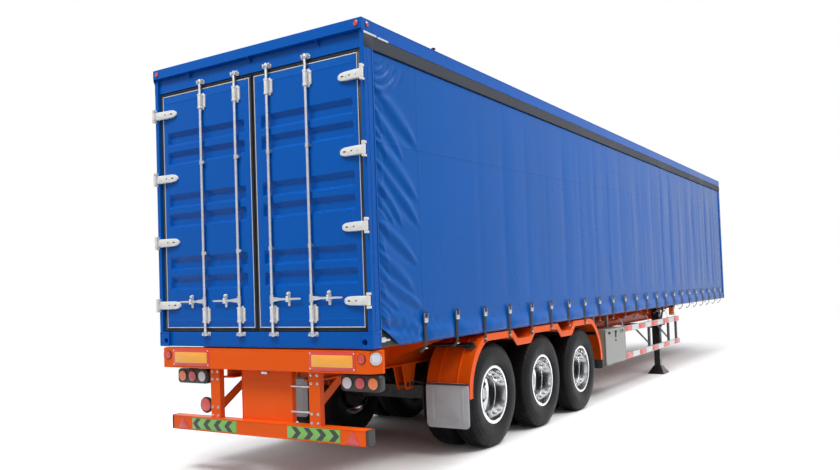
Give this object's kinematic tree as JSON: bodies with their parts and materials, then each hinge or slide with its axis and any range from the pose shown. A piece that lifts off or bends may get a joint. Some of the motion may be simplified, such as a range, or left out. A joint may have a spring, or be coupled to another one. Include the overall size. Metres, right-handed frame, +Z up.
{
  "type": "curtain-side semi trailer",
  "caption": "Curtain-side semi trailer with container-type rear doors, a tri-axle twin-wheel bogie, landing legs, a king pin, side guards and a toolbox.",
  "frame": {"origin": "on the ground, mid-length and mid-width", "axes": "+X to the front, +Y to the left, +Z up"},
  "size_m": [13.692, 2.5502, 3.83],
  "materials": {
    "body_blue": "gloss paint",
    "curtain_blue": "coated polyester cloth, semi-gloss",
    "chassis_orange": "gloss paint",
    "track_grey": "satin paint",
    "roof_cloth": "coated cloth, matt",
    "bow_alloy": "mill finish",
    "floor_board": "film-faced plywood",
    "seal_rubber": "matt",
    "bright_steel": "zinc plated",
    "webbing": "woven",
    "housing_black": "moulded",
    "lens_red": "clear lens over reflector",
    "lens_amber": "clear lens over reflector",
    "lens_white": "clear lens over reflector",
    "reflector_amber": "prismatic sheet with a red border",
    "board_green": "prismatic sheet with black chevrons",
    "axle_black": "satin paint",
    "tyre": "treaded rubber",
    "wheel_alloy": "polished",
    "flap_grey": "matt",
    "box_grey": "satin paint",
    "guard_alloy": "anodised",
    "leg_black": "satin paint",
    "plate_steel": "satin paint"
  },
  "bodies": {
    "trailer": {"main_rails": "chassis_orange", "crossmembers": "chassis_orange", "side_rails": "chassis_orange", "deck_floor": "floor_board", "front_wall": "body_blue", "rear_frame": "body_blue", "frame_fittings": "bright_steel", "roof_rails": "body_blue", "roof_sheet": "roof_cloth", "roof_bows": "bow_alloy", "curtain_tracks": "track_grey", "side_pillars": "bow_alloy", "curtain_left": "curtain_blue", "curtain_right": "curtain_blue", "curtain_straps": "webbing", "curtain_buckles": "bright_steel", "rear_beam": "chassis_orange", "underrun_guard": "chassis_orange", "underrun_end_caps": "housing_black", "chevron_boards": "board_green", "reflector_boards": "reflector_amber", "lamp_housings": "housing_black", "red_lamps": "lens_red", "amber_lamps": "lens_amber", "white_lamps": "lens_white", "fenders": "chassis_orange", "fender_stays": "axle_black", "mud_flaps": "flap_grey", "axle_beams": "axle_black", "leaf_springs": "axle_black", "spring_hangers": "chassis_orange", "toolbox": "box_grey", "side_guards": "guard_alloy", "landing_legs": "leg_black", "landing_gear_shaft": "leg_black", "king_pin_plate": "plate_steel", "air_tanks": "axle_black", "coupling_heads": "bright_steel"},
    "door_left": {"rear_door_left": "body_blue", "door_seal_left": "seal_rubber", "lock_rods_left": "bright_steel", "hinge_blades_left": "bright_steel"},
    "wheel_left_1": {"tyres_left_1": "tyre", "wheels_left_1": "wheel_alloy"},
    "wheel_left_2": {"tyres_left_2": "tyre", "wheels_left_2": "wheel_alloy"},
    "wheel_left_3": {"tyres_left_3": "tyre", "wheels_left_3": "wheel_alloy"},
    "door_right": {"rear_door_right": "body_blue", "door_seal_right": "seal_rubber", "lock_rods_right": "bright_steel", "hinge_blades_right": "bright_steel"},
    "wheel_right_1": {"tyres_right_1": "tyre", "wheels_right_1": "wheel_alloy"},
    "wheel_right_2": {"tyres_right_2": "tyre", "wheels_right_2": "wheel_alloy"},
    "wheel_right_3": {"tyres_right_3": "tyre", "wheels_right_3": "wheel_alloy"},
    "toolbox_door": {"toolbox_lid": "box_grey"}
  },
  "joints": [
    {"name": "door_left_hinge", "type": "hinge", "parent": "trailer", "child": "door_left", "pos_m": [-6.832, 1.24, 2.46], "axis": [0, 0, -1], "range_deg": [0, 270]},
    {"name": "door_right_hinge", "type": "hinge", "parent": "trailer", "child": "door_right", "pos_m": [-6.832, -1.24, 2.46], "axis": [0, 0, 1], "range_deg": [0, 270]},
    {"name": "wheel_left_1_spin", "type": "hinge", "parent": "trailer", "child": "wheel_left_1", "pos_m": [-4.6, 0.895, 0.53], "axis": [0, 1, 0], "continuous": true},
    {"name": "wheel_left_2_spin", "type": "hinge", "parent": "trailer", "child": "wheel_left_2", "pos_m": [-3.36, 0.895, 0.53], "axis": [0, 1, 0], "continuous": true},
    {"name": "wheel_left_3_spin", "type": "hinge", "parent": "trailer", "child": "wheel_left_3", "pos_m": [-2.12, 0.895, 0.53], "axis": [0, 1, 0], "continuous": true},
    {"name": "wheel_right_1_spin", "type": "hinge", "parent": "trailer", "child": "wheel_right_1", "pos_m": [-4.6, -0.895, 0.53], "axis": [0, 1, 0], "continuous": true},
    {"name": "wheel_right_2_spin", "type": "hinge", "parent": "trailer", "child": "wheel_right_2", "pos_m": [-3.36, -0.895, 0.53], "axis": [0, 1, 0], "continuous": true},
    {"name": "wheel_right_3_spin", "type": "hinge", "parent": "trailer", "child": "wheel_right_3", "pos_m": [-2.12, -0.895, 0.53], "axis": [0, 1, 0], "continuous": true},
    {"name": "toolbox_door_hinge", "type": "hinge", "parent": "trailer", "child": "toolbox_door", "pos_m": [-0.785, -1.206, 0.468], "axis": [1, 0, 0], "range_deg": [0, 90]}
  ]
}
